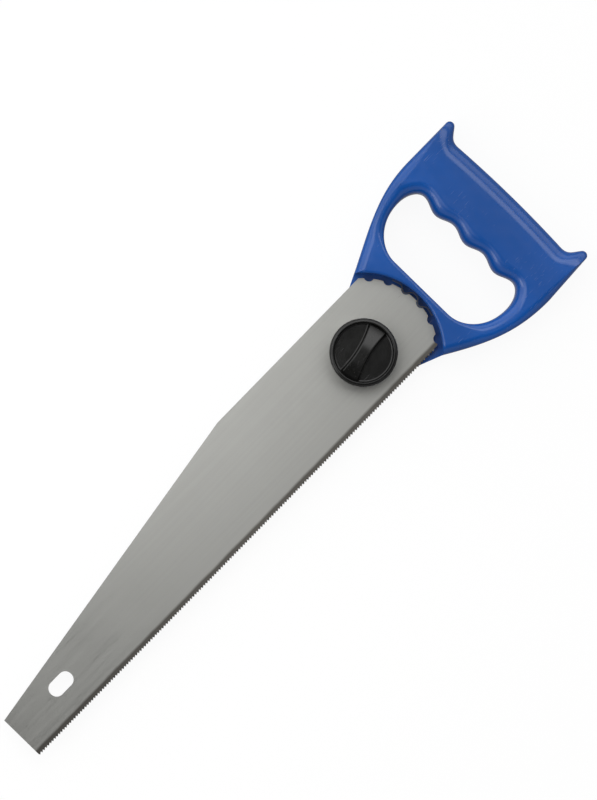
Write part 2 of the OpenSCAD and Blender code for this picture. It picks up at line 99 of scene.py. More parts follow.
class PipeSawHandle(bpy.types.PropertyGroup):
    """Sizes and colour of the two moulded shells"""
    handle_y: length("Centreline", "Height of the handle's centreline above the pivot", 0.002)
    grip_h: length("Height", "Overall height of the handle over its horns", 0.105)
    back_x: length("Back edge", "Distance from the pivot to the middle of the back edge", 0.116)
    back_swell: length("Back swell", "Swell of the back edge between its ends", 0.0011)
    horn_x: length("Horn tips", "Distance from the pivot to the horn tips", 0.12238)
    horn_r: length("Horn radius", "Radius of a horn tip", 0.0026)
    flare_v: length("Flare start", "Half-height of the back edge between the flares", 0.039)
    flank_x: length("Level flank", "Distance from the pivot to where the flanks run level", 0.09)
    flank_lead: length("Flank lead", "Reach of the flank curve at its tang end", 0.025)
    flank_ease: length("Flank ease", "Reach of the flank curve at its level end", 0.024)
    low_swell: length("Lower swell", "Swell of the lower flank beyond the horn's level", 0.0015)
    low_turn: angle("Lower turn", "Outward turn of the lower flank where it leaves the recess", 9.5)
    tang_r: length("Tang radius", "Radius of the round tang about the pivot", 0.0185)
    recess_r: length("Recess radius", "Radius of the recess wall about the pivot", 0.0428)
    recess_top: angle("Recess top", "Angle of the upper end of the recess", 51)
    recess_bottom: angle("Recess bottom", "Angle of the lower end of the recess", -47.5)
    open_x: length("Opening front", "Distance from the pivot to the front side of the opening", 0.0465)
    open_h: length("Opening height", "Height of the finger opening", 0.082)
    open_peak_x: length("Opening peak", "Distance from the pivot to the opening's widest ends", 0.071)
    open_side_v: length("Opening side", "Half-height of the opening's straight front side", 0.02)
    wave_x: length("Groove line", "Distance from the pivot to the mean line of the grooves", 0.082)
    wave_a: length("Groove depth", "Depth of the finger grooves to either side of that line", 0.0016)
    wave_step: length("Groove step", "Distance from groove to groove", 0.022)
    edge_r: length("Flank rounding", "Rounding of the flanks", 0.005)
    horn_edge: length("Horn rounding", "Rounding of the flanks where they run out into the horns", 0.0012)
    back_edge_w: length("Back rounding width", "Width of the rounding along the back edge", 0.0085)
    back_edge_h: length("Back rounding height", "Height of the rounding along the back edge", 0.0075)
    open_edge: length("Grip rounding", "Rounding of the opening on the grip", 0.0065)
    groove_share: share("Groove share", "Share of the grooves' depth left where the rounding meets the face",
                        0.35)
    bridge_edge: length("Bridge rounding", "Rounding of the opening on the bridge", 0.0016)
    recess_edge: length("Recess rounding", "Rounding of the recess wall", 0.0016)
    tang_edge: length("Tang rounding", "Rounding of the tang's back", 0.003)
    recess_floor: length("Recess floor", "Drop of the recess floor round the blade's raised seat", 0.0034)
    seat_r: length("Blade seat", "Radius of the raised seat under the blade", 0.0246)
    parting_groove: length("Parting groove", "Width on each shell of the groove where they meet", 0.0002)
    face_t: length("Face wall", "Thickness of the flat faces over the hollow", 0.003)
    wall_share: share("Wall share", "Share of a narrow wall that its two roundings may take up", 0.88)
    hollow_share: share("Hollow reach", "Share of each rounding that the hollow reaches into", 0.35)
    plastic: colour("Shell plastic", "Colour of the moulded shells", (0.0040, 0.071, 0.315))


class PipeSawBlade(bpy.types.PropertyGroup):
    """Finish of the blade"""
    steel: colour("Blade steel", "Colour of the ground steel", (0.355, 0.355, 0.338))
    # The dark tooth band is partly heat-darkened steel and partly painted shade of the teeth's set and
    # gullets
    heat_tint_and_shade: colour("Hardened teeth", "Colour of the heat-darkened tooth line", (0.108, 0.102, 0.092))
    band: length("Hardened band", "Height of the dark band over the tooth tips", 0.0038)


class PipeSawClamp(bpy.types.PropertyGroup):
    """Sizes and finishes of the bolt, the washers and the screws"""
    bolt_r: length("Bolt radius", "Radius of the clamp bolt", 0.004)
    bolt_pitch: length("Bolt pitch", "Pitch of the bolt's thread", 0.00125)
    bolt_thread: length("Bolt thread", "Depth of the bolt's thread", 0.00065)
    head_h: length("Head height", "Height of the bolt head", 0.0034)
    neck_h: length("Neck height", "Height of the bolt's square neck", 0.005)
    screw_r: length("Screw radius", "Shank radius of a shell screw", 0.0015)
    screw_pitch: length("Screw pitch", "Pitch of a shell screw's thread", 0.0014)
    screw_thread: length("Screw thread", "Depth of a shell screw's thread", 0.00038)
    screw_head_r: length("Screw head", "Head radius of a shell screw", 0.0034)
    screw_head_h: length("Screw head height", "Head height of a shell screw", 0.0024)
    screw_seat: length("Screw seat", "Depth of the screw heads' seats", 0.005)
    screw_l: length("Screw length", "Length of a shell screw under its head", 0.014)
    zinc: colour("Zinc", "Colour of the plated steel", (0.60, 0.61, 0.62))
    spring: colour("Spring steel", "Colour of the oiled spring steel", (0.09, 0.10, 0.125))
    brass: colour("Brass", "Colour of the threaded insert", (0.74, 0.52, 0.2))


class PipeSawKnob(bpy.types.PropertyGroup):
    """Sizes and colour of the clamp knob"""
    crown: length("Crown", "Rise of the middle of the grip bar above the rim", 0.0008)
    edge: length("Rim rounding", "Rounding of the rim", 0.0016)
    rim_t: length("Rim", "Thickness of the rim", 0.0022)
    bar_w: length("Bar width", "Width of the grip bar at its waist", 0.0066)
    bar_side_r: length("Bar side radius", "Radius of the hollowed sides of the grip bar", 0.06)
    bar_arch: length("Bar arch", "Radius of the arch along the top of the grip bar", 0.04)
    bar_edge: length("Bar edge", "Rounding along the top edges of the grip bar", 0.0009)
    bar_angle: angle("Bar angle", "Angle of the grip bar from the blade's length", 13)
    grip_d: length("Pocket depth", "Depth of the pockets beside the bar", 0.005)
    lip: length("Pocket lip", "Rounding of the rim's inner edge", 0.0004)
    fillet: length("Pocket fillet", "Rounding along the pockets' floors", 0.0012)
    counterbore_r: length("Counterbore", "Radius of the room for the spring washer", 0.0078)
    plastic: colour("Knob plastic", "Colour of the moulded knob", (0.0045, 0.0045, 0.0042))


class PipeSawStage(bpy.types.PropertyGroup):
    """Camera and light"""
    turn: angle("Turn", "Angle of the saw's length in the picture", 45.7)
    picture_h: length("Picture height", "Height that the picture spans at the blade", 0.432)
    aim: FloatVectorProperty(name="Aim", description="Point of the blade's plane at the picture's middle",
                             default=(-0.04264, 0.00721), size=2, subtype="XYZ_LENGTH", unit="LENGTH")
    table: colour("Table", "Colour of the table", (0.35, 0.35, 0.35))
    mirrored: share("Mirrored table", "Brightness of the table where the saw mirrors it or is lit by it", 0.3)
    panel_side: angle("Panel side", "Direction in the picture of the middle of the ceiling panel", 60)
    wall_side: angle("Wall side", "Direction in the picture of the middle of the pale wall", 105)
    seen: brightness("Seen table", "Brightness of the table's own light in the picture", 1.16)
    even: share("Even light", "Share of the seen table that is its own light; the rest takes shadows", 0.8)
    zenith: brightness("Zenith", "Light from straight above", 0.2)
    panel: brightness("Panel", "Light from the ceiling panel", 2.6)
    wall: brightness("Wall", "Light from the pale wall", 0.9)
    surround: brightness("Surround", "Light from low down all round", 0.55)
    shade: brightness("Shade", "Light from the rest of the room", 0.05)


class PipeSawSettings(bpy.types.PropertyGroup):
    """All sizes and colours of the saw"""
    handle: PointerProperty(type=PipeSawHandle)
    blade: PointerProperty(type=PipeSawBlade)
    clamp: PointerProperty(type=PipeSawClamp)
    knob: PointerProperty(type=PipeSawKnob)
    stage: PointerProperty(type=PipeSawStage)


# ---- plane geometry, points as complex numbers ----

def lerp(a, b, t):
    return a + (b - a) * t


def smooth(t):
    t = min(1.0, max(0.0, t))
    return t * t * (3 - 2 * t)


def unit(v):
    return v / abs(v)


def bezier(a, b, c, d, t):
    u = 1 - t
    return a * u ** 3 + 3 * b * t * u * u + 3 * c * t * t * u + d * t ** 3


# ---- meshes ----

def new_piece(name, bm):
    """Puts a bmesh into the scene as an object, with its faces turned outwards"""
    bmesh.ops.recalc_face_normals(bm, faces=bm.faces)
    mesh = bpy.data.meshes.new(name)
    bm.to_mesh(mesh)
    bm.free()
    piece = bpy.data.objects.new(name, mesh)
    bpy.context.scene.collection.objects.link(piece)
    return piece


def ring(radius, z, segments, centre=(0.0, 0.0)):
    """One loop about the axis; radius is a number or a function of the angle"""
    points = []
    for k in range(segments):
        a = 2 * math.pi * k / segments
        r = radius(a) if callable(radius) else radius
        points.append((centre[0] + r * math.cos(a), centre[1] + r * math.sin(a), z))
    return points


def loft(bm, loops, in_ring=False):
    """Joins loops in a ring, or in a row that ends flat or in a loop of one point"""
    made = [[bm.verts.new(p) for p in loop] for loop in loops]
    for low, high in zip(made, made[1:] + made[:1] if in_ring else made[1:]):
        for k in range(max(len(low), len(high))):
            corners = [row[i % len(row)] for row, i in ((low, k), (low, k + 1), (high, k + 1), (high, k))]
            bm.faces.new(list(dict.fromkeys(corners)))
    for row in () if in_ring else (made[0], made[-1]):
        if len(row) > 1:
            bm.faces.new(row)


def lofted(name, loops, in_ring=False):
    """A piece of its own through loops"""
    bm = bmesh.new()
    loft(bm, loops, in_ring)
    return new_piece(name, bm)


def lathe(name, profile, segments, centre=(0.0, 0.0)):
    """Revolves a profile of (radius, height) pairs that starts and ends on the axis"""
    return lofted(name, [ring(r, z, segments, centre) if r else [(*centre, z)] for r, z in profile])


def plug(name, radius, low, high, segments, centre=(0.0, 0.0)):
    """A plain cylinder"""
    return lathe(name, [(0, low), (radius, low), (radius, high), (0, high)], segments, centre)


def tube(name, inner, outer, low, high, segments=192):
    """A plain ring of rectangular section"""
    corners = ((inner, low), (outer, low), (outer, high), (inner, high))
    return lofted(name, [ring(r, z, segments) for r, z in corners], in_ring=True)


def prism(name, outline, low, high):
    """An outline of complex points drawn up from low to high"""
    return lofted(name, [[(p.real, p.imag, z) for p in outline] for z in (low, high)])


def settle_mesh(piece):
    """Replaces a piece's mesh by its mesh with modifiers"""
    graph = bpy.context.evaluated_depsgraph_get()
    mesh = bpy.data.meshes.new_from_object(piece.evaluated_get(graph))
    old = piece.data
    piece.modifiers.clear()
    piece.data = mesh
    bpy.data.meshes.remove(old)


def carve(piece, other, operation="DIFFERENCE"):
    """Cuts one piece away from another, or joins it on, and removes it"""
    cut = piece.modifiers.new("carve", "BOOLEAN")
    cut.operation = operation
    cut.solver = "EXACT"
    cut.object = other
    settle_mesh(piece)
    mesh = other.data
    bpy.data.objects.remove(other)
    bpy.data.meshes.remove(mesh)


def paint(piece, material):
    """Gives a piece its one material"""
    piece.data.materials.clear()
    piece.data.materials.append(material)


def flat_faces(piece):
    """Keeps flat faces flat in their shading, up to the roundings beside them"""
    piece.modifiers.new("flat faces", "WEIGHTED_NORMAL").keep_sharp = True


def fit(piece, body, slot, material, *nodes, crisp=30):
    """Shades and paints a piece, seats it on its body and lets it stand for its nodes"""
    paint(piece, material)
    mesh = piece.data
    mesh.polygons.foreach_set("use_smooth", [True] * len(mesh.polygons))
    mesh.set_sharp_from_angle(angle=math.radians(crisp))
    flat_faces(piece)
    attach(piece, body)
    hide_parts(*nodes)


# Distance under which a solid's vertices are joined, and turns of its edges: smooth below, broken above
WELD_DISTANCE = 2e-6
SMOOTH_BELOW, BROKEN_ABOVE = math.radians(28), math.radians(35)


def crisp_weld():
    """Geometry nodes that join a solid's faces at their edges and keep its sharp edges sharp"""
    tree = bpy.data.node_groups.get("crisp weld")
    if tree:
        return tree
    tree = bpy.data.node_groups.new("crisp weld", "GeometryNodeTree")
    for way in ("INPUT", "OUTPUT"):
        tree.interface.new_socket("Geometry", in_out=way, socket_type="NodeSocketGeometry")
    kinds = ("NodeGroupInput", "GeometryNodeMergeByDistance", "GeometryNodeSetShadeSmooth",
             "GeometryNodeSetShadeSmooth", "NodeGroupOutput")
    chain = [tree.nodes.new(kind) for kind in kinds]
    for before, after in zip(chain, chain[1:]):
        tree.links.new(before.outputs[0], after.inputs[0])
    weld, edges = chain[1], chain[3]
    weld.inputs["Distance"].default_value = WELD_DISTANCE
    edges.domain = "EDGE"
    turn = tree.nodes.new("GeometryNodeInputMeshEdgeAngle")
    gentle = tree.nodes.new("FunctionNodeCompare")
    gentle.operation = "LESS_THAN"
    gentle.inputs["B"].default_value = SMOOTH_BELOW
    tree.links.new(turn.outputs["Unsigned Angle"], gentle.inputs["A"])
    tree.links.new(gentle.outputs[0], edges.inputs["Shade Smooth"])
    return tree


def dress(node, material, edge=0.0):
    """Paints a solid of the frame and breaks its edges, where it isn't too fine for that"""
    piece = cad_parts[node]
    paint(piece, material)
    piece.modifiers.new("weld", "NODES").node_group = crisp_weld()
    if edge > 0.0:
        bevel = piece.modifiers.new("broken edges", "BEVEL")
        bevel.width = edge
        bevel.segments = 2
        bevel.limit_method = "ANGLE"
        bevel.angle_limit = BROKEN_ABOVE
        bevel.use_clamp_overlap = True
    flat_faces(piece)


# ---- shader nodes ----

def put(tree, kind, inputs=None, **settings):
    """Adds a shader node, with its settings and its input values or links"""
    node = tree.nodes.new("ShaderNode" + kind)
    for key, value in settings.items():
        setattr(node, key, value)
    for key, value in (inputs or {}).items():
        if isinstance(value, bpy.types.NodeSocket):
            tree.links.new(value, node.inputs[key])
        else:
            node.inputs[key].default_value = value
    return node


def maths(tree, operation, a, b=0.0):
    """A sum, product or other result of two values"""
    return put(tree, "Math", {0: a, 1: b}, operation=operation).outputs[0]


def times(tree, a, b):
    """The product of two values"""
    return maths(tree, "MULTIPLY", a, b)


def raised(tree, value, mask, amount):
    """A value raised by an amount where a mask is full"""
    return maths(tree, "ADD", value, times(tree, mask, amount))


def span(tree, value, low, high, to_low=0.0, to_high=1.0, soft=True):
    """Maps a value from one span onto another"""
    kind = "SMOOTHSTEP" if soft else "LINEAR"
    found = put(tree, "MapRange", {"Value": value, "From Min": low, "From Max": high,
                                   "To Min": to_low, "To Max": to_high}, interpolation_type=kind)
    return found.outputs["Result"]


def tint(tree, factor, a, b):
    """A colour between two, by a mask"""
    return put(tree, "Mix", {0: factor, 6: a, 7: b}, data_type="RGBA").outputs[2]


def toned(rgb, level=1.0, lift=0.0):
    """A colour for a shader, lighter or darker than the one given"""
    return tuple(min(1.0, level * c + lift) for c in rgb) + (1.0,)


def noise(tree, place, scale, detail=2.0, rough=0.5):
    """A soft noise over the surface, from 0 to 1"""
    inputs = {"Vector": place, "Scale": scale, "Detail": detail, "Roughness": rough}
    return put(tree, "TexNoise", inputs).outputs["Fac"]


def stretched(tree, place, scale, turn=0.0):
    """The same place seen stretched and turned about Z"""
    inputs = {"Vector": place, "Scale": scale, "Rotation": (0.0, 0.0, turn)}
    return put(tree, "Mapping", inputs).outputs["Vector"]


def own_place(tree):
    """The point of the surface in the piece's own frame, in metres"""
    return put(tree, "TexCoord").outputs["Object"]


def effect(name, inputs, outputs, wire):
    """A shader node group, made once; wire finds the values of its outputs from its inputs"""
    tree = bpy.data.node_groups.get(name)
    if tree:
        return tree
    tree = bpy.data.node_groups.new(name, "ShaderNodeTree")
    for label, default in inputs.items():
        kind = "NodeSocketVector" if default is None else "NodeSocketFloat"
        socket = tree.interface.new_socket(label, in_out="INPUT", socket_type=kind)
        if default is not None:
            socket.default_value = default
    for label in outputs:
        tree.interface.new_socket(label, in_out="OUTPUT", socket_type="NodeSocketFloat")
    given, out = tree.nodes.new("NodeGroupInput").outputs, tree.nodes.new("NodeGroupOutput").inputs
    for label, value in zip(outputs, wire(tree, given)):
        tree.links.new(value, out[label])
    return tree


def moulded_skin():
    """Grain of a moulded surface: fine height, slow flow marks and patches of gloss"""
    def wire(tree, given):
        place, slow = given["Place"], given["Flow"]
        fine = noise(tree, place, given["Grain"], 3.0, 0.6)
        flow = noise(tree, stretched(tree, place, (1.0, 0.45, 1.0), 0.5), slow)
        patch = noise(tree, place, times(tree, slow, 6.0), 3.0, 0.6)
        return fine, span(tree, flow, 0.3, 0.7), span(tree, patch, 0.3, 0.7)

    inputs = {"Place": None, "Grain": 2600.0, "Flow": 30.0}
    return effect("moulded skin", inputs, ("Height", "Flow", "Gloss"), wire)


def handling_marks():
    """Marks of use: hairline scuffs in two directions, and slow smudges"""
    def wire(tree, given):
        place, scale = given["Place"], given["Scale"]
        hairs = []
        for turn in (0.35, -0.9):
            hair = noise(tree, stretched(tree, place, (0.06, 1.0, 1.0), turn), times(tree, scale, 9.0))
            hairs.append(span(tree, hair, 0.66, 0.72))
        patch = span(tree, noise(tree, place, times(tree, scale, 0.3)), 0.48, 0.66)
        smudge = noise(tree, place, times(tree, scale, 0.12), 3.0, 0.55)
        return times(tree, maths(tree, "MAXIMUM", *hairs), patch), span(tree, smudge, 0.35, 0.7)

    return effect("handling marks", {"Place": None, "Scale": 220.0}, ("Scuff", "Smudge"), wire)


def tool_lines():
    """Fine lines that a grinding belt or a lathe tool leaves along one direction"""
    def wire(tree, given):
        place, pitch = given["Place"], given["Pitch"]
        fine = noise(tree, place, pitch, 2.0, 0.7)
        broad = noise(tree, place, times(tree, pitch, 0.12))
        return raised(tree, fine, broad, 0.4), span(tree, broad, 0.3, 0.7)

    return effect("tool lines", {"Place": None, "Pitch": 6000.0}, ("Height", "Streak"), wire)


def use(tree, group, **inputs):
    """Places a shared effect in a material; returns its outputs"""
    return put(tree, "Group", inputs, node_tree=group).outputs


def finish_of(name):
    """A new material, with its tree and its shader"""
    material = bpy.data.materials.new(name)
    material.use_nodes = True
    tree = material.node_tree
    return material, tree, tree.nodes["Principled BSDF"]


def bump(tree, shader, height, depth, strength):
    """Feeds a height to a shader's normal"""
    node = put(tree, "Bump", {"Height": height, "Strength": strength, "Distance": depth})
    tree.links.new(node.outputs["Normal"], shader.inputs["Normal"])


def cover(tree, shader, base, rough, metallic=0.0):
    """Feeds a colour and a roughness to a shader"""
    tree.links.new(base, shader.inputs["Base Color"])
    tree.links.new(rough, shader.inputs["Roughness"])
    shader.inputs["Metallic"].default_value = metallic


def moulded_plastic(name, rgb, rough, grain, pale, shine):
    """Moulded plastic: flow marks in its colour, patches of gloss, fine grain and pale scuffs"""
    material, tree, shader = finish_of(name)
    place = own_place(tree)
    skin = use(tree, moulded_skin(), Place=place, Grain=grain, Flow=32.0)
    marks = use(tree, handling_marks(), Place=place, Scale=240.0)
    base = tint(tree, skin["Flow"], toned(rgb, 0.9), toned(rgb, 1.1, 0.001))
    base = tint(tree, times(tree, marks["Scuff"], 0.3), base, toned(rgb, 0.65, 0.35 * pale))
    dulled = span(tree, skin["Gloss"], 0.0, 1.0, rough, rough + 0.05, soft=False)
    dulled = raised(tree, raised(tree, dulled, marks["Scuff"], 0.15), marks["Smudge"], 0.04)
    cover(tree, shader, base, dulled)
    shader.inputs["Specular IOR Level"].default_value = shine
    bump(tree, shader, skin["Height"], 0.03 * MM, 0.08)
    return material


def ground_steel(settings):
    """Blade steel, ground along its length, with a dark band along the teeth that is partly heat-darkened
    steel and partly painted shade of the teeth
    """
    material, tree, shader = finish_of("ground blade steel")
    place = own_place(tree)
    lines = use(tree, tool_lines(), Place=stretched(tree, place, (0.02, 1.0, 1.0)), Pitch=5000.0)
    marks = use(tree, handling_marks(), Place=place, Scale=160.0)
    dull = toned(settings.steel, 0.9)
    base = tint(tree, times(tree, lines["Streak"], 0.3), toned(settings.steel), dull)
    base = tint(tree, times(tree, marks["Smudge"], 0.35), base, dull)
    # Dark band over the tooth tips with a wandering upper edge: heat tint and painted shade of the teeth
    # together
    height = put(tree, "SeparateXYZ", {"Vector": place}).outputs["Y"]
    wander = times(tree, noise(tree, place, 90.0, 3.0), 0.8 * MM)
    top, soft_edge = BLADE_LOW.y + settings.band, 1.8 * MM
    band = span(tree, maths(tree, "SUBTRACT", height, wander), top, top - soft_edge)
    base = tint(tree, band, base, toned(settings.heat_tint_and_shade))
    rough = span(tree, lines["Streak"], 0.0, 1.0, 0.36, 0.41, soft=False)
    rough = raised(tree, raised(tree, rough, marks["Smudge"], 0.05), marks["Scuff"], -0.1)
    cover(tree, shader, base, rough, metallic=1.0)
    bump(tree, shader, lines["Height"], 0.01 * MM, 0.2)
    return material


def turned_metal(name, rgb, rough, pitch):
    """Turned or stamped metal with fine lines round its axis and faint stains; made once"""
    if name in bpy.data.materials:
        return bpy.data.materials[name]
    material, tree, shader = finish_of(name)
    place = own_place(tree)
    parts = put(tree, "SeparateXYZ", {"Vector": place}).outputs
    squares = [times(tree, parts[axis], parts[axis]) for axis in "XY"]
    radius = maths(tree, "SQRT", maths(tree, "ADD", *squares))
    round_place = put(tree, "CombineXYZ", {"X": radius, "Y": parts["Z"], "Z": 0.0}).outputs[0]
    lines = use(tree, tool_lines(), Place=round_place, Pitch=pitch)
    marks = use(tree, handling_marks(), Place=place, Scale=500.0)
    base = tint(tree, times(tree, marks["Smudge"], 0.6), toned(rgb), toned(rgb, 0.75))
    dulled = span(tree, lines["Streak"], 0.0, 1.0, rough, rough + 0.1, soft=False)
    cover(tree, shader, base, raised(tree, dulled, marks["Scuff"], 0.1), metallic=1.0)
    bump(tree, shader, lines["Height"], 0.01 * MM, 0.3)
    return material


def zinc_plate(clamp):
    """Bright plated steel of the bolt, the screws and the flat washer"""
    return turned_metal("zinc plate", clamp.zinc, rough=0.28, pitch=5200.0)


def spring_steel(clamp):
    """Dark oiled steel of the spring washer and the index spring"""
    return turned_metal("oiled spring steel", clamp.spring, rough=0.38, pitch=4000.0)


# ---- the handle ----

class HandleForm:
    """Outline, opening and roundings of the handle in the saw's plane, step by step round the opening"""

    # Steps along the four stretches of a side, along the back and the front, and fine steps in each step
    FLANK, LEVEL, NOSE, FLARE = 14, 3, 5, 6
    SIDE = FLANK + LEVEL + NOSE + FLARE
    BACK, FRONT, FINE = 30, 26, 4
    # Faces across a rounding, and the step of each side where the hollow starts
    ROUND, HOLLOW_FROM = 9, 7
    # Angles round an end of the opening, at the bridge and where the flank and the level stretch end
    TURN_BRIDGE, TURN_FLANK, TURN_LEVEL = (math.radians(a) for a in (12, 125, 150))
    # Angles round a horn's nose, reach of the flare's curve, and the bend of the face's edge before the nose
    NOSE_START, NOSE_END = math.radians(90), math.radians(-50)
    FLARE_REACH, FACE_STOP = 5 * MM, 7.2 * MM
    # Length over which the opening's rounding grows from the bridge to the grip
    BRIDGE_BLEND = 15 * MM
    # Turn of the face's corners at the recess, for one radius of rounding, and where that rounding grows
    CORNER_TURN, CORNER_FROM = math.radians(63), 0.86
    # Share of the tang's line in each straight side, steps until its rounding is the flank's, rise on each
    TANG_SIDE, TANG_STEPS, TANG_RISE = 0.25, 5, MM / 3
    # Half of the short stretches that give a line's direction, in steps of a side and as a share of the tang
    NUDGE, TANG_NUDGE = 0.05, 0.005

    def __init__(self, sizes):
        self.d = sizes
        self.wave_end = 1.5 * sizes.wave_step
        line = self.opening = self.opening_line()
        trios = zip(line[-1:] + line[:-1], line, line[1:] + line[:1])
        self.open_face = [p + self.open_width(p) * 1j * unit(q - o) for o, p, q in trios]
        for k in range(self.SIDE * self.FINE, (self.SIDE + self.BACK) * self.FINE + 1):
            self.open_face[k] = self.grip_face(line[k])

    def trip(self, side, back, front):
        """Values at each fine step along the upper side, the back, the lower side and the front"""
        def steps(count, start=0):
            return [k / self.FINE for k in range(start, count * self.FINE)]

        upper = [side(1, s) for s in steps(self.SIDE)]
        rear = [back(k / self.BACK) for k in steps(self.BACK)]
        lower = [side(-1, self.SIDE - s) for s in steps(self.SIDE)] + [side(-1, 0)]
        return upper + rear + lower + [front(k / self.FRONT) for k in steps(self.FRONT, 1)]

    @staticmethod
    def stretch(s, *counts):
        """Which of a side's stretches a step lies in, and how far along it"""
        last = len(counts) - 1
        for index, count in enumerate(counts):
            if s < count or index == last:
                return index, s / count
            s -= count

    def corner(self, side):
        return cmath.rect(self.d.recess_r, self.d.recess_top if side > 0 else self.d.recess_bottom)

    def tangent_angle(self, side):
        corner = self.corner(side)
        return cmath.phase(corner) + side * math.acos(self.d.tang_r / abs(corner))

    def tangent_point(self, side):
        return cmath.rect(self.d.tang_r, self.tangent_angle(side))

    def level_y(self, side):
        return self.d.handle_y + side * self.d.grip_h / 2

    def flank_y(self, side):
        return self.level_y(side) - (self.d.low_swell if side < 0 else 0)

    def flank(self, side, t):
        start = self.corner(side)
        end = complex(self.d.flank_x, self.flank_y(side))
        turn = self.d.low_turn if side < 0 else 0
        lead = unit(start - self.tangent_point(side)) * cmath.rect(self.d.flank_lead, -turn)
        return bezier(start, start + lead, end - self.d.flank_ease, end, t)

    def nose(self, side, a):
        r = self.d.horn_r
        return complex(self.d.horn_x - r + r * math.cos(a), self.level_y(side) + side * r * (math.sin(a) - 1))

    def flare(self, side, t):
        start = self.nose(side, self.NOSE_END)
        end = self.back(side * self.d.flare_v)
        lead = self.FLARE_REACH * complex(math.sin(self.NOSE_END), -side * math.cos(self.NOSE_END))
        return bezier(start, start + lead, end + 1j * side * self.FLARE_REACH, end, t)

    def back(self, v):
        return complex(self.d.back_x - self.d.back_swell * (v / self.d.flare_v) ** 2, self.d.handle_y + v)

    def side_point(self, side, s):
        index, t = self.stretch(s, self.FLANK, self.LEVEL, self.NOSE, self.FLARE)
        if index == 0:
            return self.flank(side, t)
        if index == 1:
            return lerp(complex(self.d.flank_x, self.flank_y(side)), self.nose(side, self.NOSE_START), t)
        if index == 2:
            return self.nose(side, lerp(self.NOSE_START, self.NOSE_END, t))
        return self.flare(side, t)

    def face_inset(self, side, s, w):
        ahead, behind = self.side_point(side, s + self.NUDGE), self.side_point(side, max(0, s - self.NUDGE))
        return self.side_point(side, s) - side * w * 1j * unit(ahead - behind)

    def face_level(self, side):
        return complex(self.d.horn_x - self.d.horn_r - self.FACE_STOP,
                       self.level_y(side) - side * self.d.horn_edge)

    def face_horn(self, side, t):
        start = self.face_level(side)
        end = self.back(side * self.d.flare_v) - self.d.back_edge_w
        pull = complex(end.real, start.imag - side * (start.real - end.real))
        return start * (1 - t) ** 2 + 2 * pull * t * (1 - t) + end * t * t

    def side_face(self, side, s, w):
        index, t = self.stretch(s, self.FLANK, self.LEVEL, self.NOSE + self.FLARE)
        if index == 0:
            return self.face_inset(side, s, w)
        if index == 1:
            start = complex(self.d.flank_x, self.flank_y(side) - side * self.d.edge_r)
            return lerp(start, self.face_level(side), t)
        return self.face_horn(side, t)

    def side_drop(self, s):
        return lerp(self.d.edge_r, self.d.back_edge_h, smooth((s - self.FLANK) / (self.SIDE - self.FLANK)))

    def open_end(self, side, a):
        d = self.d
        left = a < math.pi / 2
        v = d.open_side_v if left else self.wave_end
        reach = d.open_peak_x - d.open_x if left else d.wave_x + d.wave_a - d.open_peak_x
        rise = v + (d.open_h / 2 - v) * math.sin(a)
        return complex(d.open_peak_x - reach * math.cos(a), d.handle_y + side * rise)

    def open_front(self, v):
        d = self.d
        e = max(0, abs(v) - d.open_side_v) / (d.open_h / 2 - d.open_side_v)
        return complex(d.open_peak_x - (d.open_peak_x - d.open_x) * math.sqrt(1 - e * e), d.handle_y + v)

    def open_grip(self, v):
        d = self.d
        return complex(d.wave_x - d.wave_a * math.cos(2 * math.pi * v / d.wave_step), d.handle_y + v)

    def grip_face(self, p):
        d = self.d
        ridge = 1 + math.cos(2 * math.pi * (p.imag - d.handle_y) / d.wave_step)
        return complex(d.wave_x + d.open_edge + d.wave_a * (1 - d.groove_share * ridge), p.imag)

    def side_open(self, side, s):
        turns = (self.TURN_BRIDGE, self.TURN_FLANK, self.TURN_LEVEL, math.pi)
        index, t = self.stretch(s, self.FLANK, self.LEVEL, self.NOSE + self.FLARE)
        return self.open_end(side, lerp(turns[index], turns[index + 1], t))

    def opening_line(self):
        d = self.d
        front_v = d.open_side_v + (d.open_h / 2 - d.open_side_v) * math.sin(self.TURN_BRIDGE)
        return self.trip(self.side_open, lambda t: self.open_grip(lerp(self.wave_end, -self.wave_end, t)),
                         lambda t: self.open_front(lerp(-front_v, front_v, t)))

    def open_width(self, p):
        grown = smooth((p.real - self.d.open_x) / self.BRIDGE_BLEND)
        return lerp(self.d.bridge_edge, self.d.open_edge, grown)

    def back_station(self, t):
        p = self.back(lerp(self.d.flare_v, -self.d.flare_v, t))
        return p, p - self.d.back_edge_w, self.d.back_edge_h

    def fitted(self, stations):
        """Adds each station's face point at the opening; both roundings shrink where the wall is narrow"""
        found = []
        for (o, f, drop), p, g in zip(stations, self.opening, self.open_face):
            k = min(1.0, self.d.wall_share * abs(p - o) / (abs(f - o) + abs(g - p)))
            found.append((o, lerp(o, f, k), k * drop, lerp(p, g, k)))
        return found

    def front_stations(self):
        """Outline point, face points and drop of the front shell, whose front is the recess wall"""
        d = self.d
        turn = self.CORNER_TURN * d.edge_r / d.recess_r

        def recess(t):
            wall = cmath.rect(d.recess_r, lerp(d.recess_bottom, d.recess_top, t))
            face_turn = lerp(d.recess_bottom + turn, d.recess_top - turn, t)
            grown = smooth((abs(2 * t - 1) - self.CORNER_FROM) / (1 - self.CORNER_FROM))
            face = cmath.rect(d.recess_r + d.recess_edge, face_turn)
            return wall, face, lerp(d.recess_edge, d.edge_r, grown)

        def station(side, s):
            face, drop = self.side_face(side, max(1, s), d.edge_r), self.side_drop(s)
            if s < 1:
                face = lerp(recess(0.5 + 0.5 * side)[1], face, s)
            return self.side_point(side, s), face, drop

        return self.fitted(self.trip(station, self.back_station, recess))

    def rear_stations(self):
        """Outline point, face points and drop of the rear shell, whose front is the tang"""
        d = self.d

        def station(side, s):
            w = lerp(d.tang_edge, d.edge_r, min(1, s / self.TANG_STEPS))
            drop = min(self.side_drop(s), w + s * self.TANG_RISE)
            return self.side_point(side, s), self.side_face(side, s, w), drop

